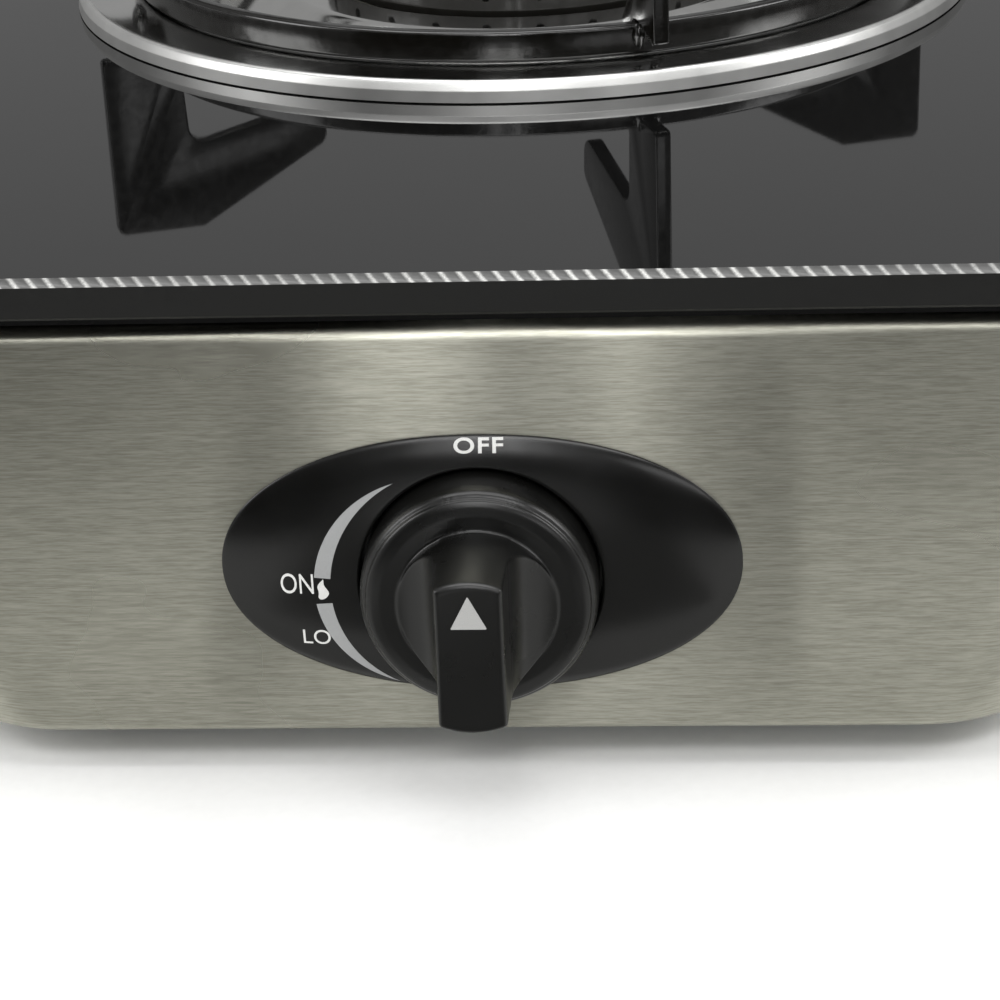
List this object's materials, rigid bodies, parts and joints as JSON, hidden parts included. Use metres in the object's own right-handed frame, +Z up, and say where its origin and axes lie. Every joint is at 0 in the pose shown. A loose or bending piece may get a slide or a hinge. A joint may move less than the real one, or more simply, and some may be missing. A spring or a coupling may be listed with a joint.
{
  "type": "single-burner glass-top gas stove",
  "caption": "Tabletop gas stove with a black glass top, stainless body, lift-out drip pan, pot support with sloping blades and a push-and-turn knob.",
  "frame": {"origin": "on the floor, under the centre of the bounding box", "axes": "+Z up, the knob faces -Y, +X to the right of someone facing the knob"},
  "size_m": [0.29, 0.4572, 0.159],
  "materials": {
    "stainless_body": "horizontally brushed stainless sheet",
    "black_glass": "black printed tempered glass, polished",
    "polished_pan": "polished stainless",
    "support_enamel": "glossy black enamel",
    "burner_enamel": "satin black heat-proof enamel",
    "knob_plastic": "semi-gloss black moulding",
    "bezel_plastic": "semi-gloss black moulding",
    "foot_rubber": "matt rubber",
    "seal_rubber": "matt rubber",
    "screw_zinc": "zinc plated",
    "galvanised_sheet": "galvanised",
    "cast_metal": "as cast",
    "brass_fitting": "turned",
    "plated_steel": "zinc plated",
    "spring_steel": "drawn wire",
    "white_plastic": "moulded",
    "white_ceramic": "glazed",
    "lead_silicone": "silicone sleeve"
  },
  "bodies": {
    "chassis": {"base_plate": "galvanised_sheet", "base_screw_1": "screw_zinc", "base_screw_2": "screw_zinc", "base_screw_3": "screw_zinc", "base_screw_4": "screw_zinc", "bezel_screw_1": "screw_zinc", "bezel_screw_2": "screw_zinc", "body_shell": "stainless_body", "bracket_screw_1": "screw_zinc", "bracket_screw_2": "screw_zinc", "burner_body": "cast_metal", "burner_bracket": "galvanised_sheet", "burner_screw_1": "screw_zinc", "burner_screw_2": "screw_zinc", "electrode_bracket": "galvanised_sheet", "electrode_insulator": "white_ceramic", "electrode_pin": "spring_steel", "foot_screw_1": "screw_zinc", "foot_screw_2": "screw_zinc", "foot_screw_3": "screw_zinc", "foot_screw_4": "screw_zinc", "glass_seal": "seal_rubber", "glass_top": "black_glass", "hose_nozzle": "brass_fitting", "igniter_body": "white_plastic", "ignition_lead": "lead_silicone", "injector": "brass_fitting", "inlet_lock_nut": "brass_fitting", "inlet_pipe": "plated_steel", "knob_bezel": "bezel_plastic", "mixing_tube": "cast_metal", "rubber_foot_1": "foot_rubber", "rubber_foot_2": "foot_rubber", "rubber_foot_3": "foot_rubber", "rubber_foot_4": "foot_rubber", "stem_spring": "spring_steel", "union_nut": "brass_fitting", "valve_body": "cast_metal", "valve_bracket": "galvanised_sheet", "valve_screw_1": "screw_zinc", "valve_screw_2": "screw_zinc"},
    "stem_carrier": {"stem_collar": "plated_steel"},
    "knob_group": {"knob": "knob_plastic", "valve_stem": "plated_steel", "igniter_cam": "white_plastic"},
    "plug": {"valve_plug": "brass_fitting"},
    "plunger": {"igniter_plunger": "brass_fitting"},
    "shutter": {"air_shutter": "plated_steel"},
    "pan": {"drip_pan": "polished_pan"},
    "pot_support": {"support_ring": "support_enamel", "support_blade_1": "support_enamel", "support_blade_2": "support_enamel", "support_blade_3": "support_enamel", "support_blade_4": "support_enamel"},
    "head": {"burner_head": "burner_enamel"},
    "cap": {"burner_cap": "burner_enamel"}
  },
  "joints": [
    {"name": "knob_press", "type": "slide", "parent": "chassis", "child": "stem_carrier", "axis": [0, 1, 0], "range_m": [0, 0.003], "stiffness_N_per_m": 700, "springref_m": -0.005, "deforming": ["stem_spring"]},
    {"name": "knob_turn", "type": "hinge", "parent": "stem_carrier", "child": "knob_group", "pos_m": [0, -0.1924, 0.0422], "axis": [0, -1, 0], "range_deg": [0, 150]},
    {"name": "plug_turn", "type": "hinge", "parent": "chassis", "child": "plug", "pos_m": [0, -0.1924, 0.0422], "axis": [0, -1, 0], "range_deg": [0, 150]},
    {"name": "plunger_lift", "type": "slide", "parent": "chassis", "child": "plunger", "axis": [0, 0, 1], "range_m": [0, 0.004]},
    {"name": "shutter_turn", "type": "hinge", "parent": "chassis", "child": "shutter", "pos_m": [0, -0.1184, 0.046], "axis": [0, 1, 0], "range_deg": [-30, 30]},
    {"name": "pan_lift", "type": "slide", "parent": "chassis", "child": "pan", "axis": [0, 0, 1], "range_m": [0, 0.04]},
    {"name": "support_lift", "type": "slide", "parent": "pan", "child": "pot_support", "axis": [0, 0, 1], "range_m": [0, 0.06]},
    {"name": "head_lift", "type": "slide", "parent": "chassis", "child": "head", "axis": [0, 0, 1], "range_m": [0, 0.03]},
    {"name": "cap_lift", "type": "slide", "parent": "head", "child": "cap", "axis": [0, 0, 1], "range_m": [0, 0.03]}
  ],
  "couplings": [
    {"joint": "plug_turn", "follows": "knob_turn", "ratio": 1},
    {"joint": "plunger_lift", "follows": "knob_turn", "m_per_rad": 0.0015277}
  ]
}
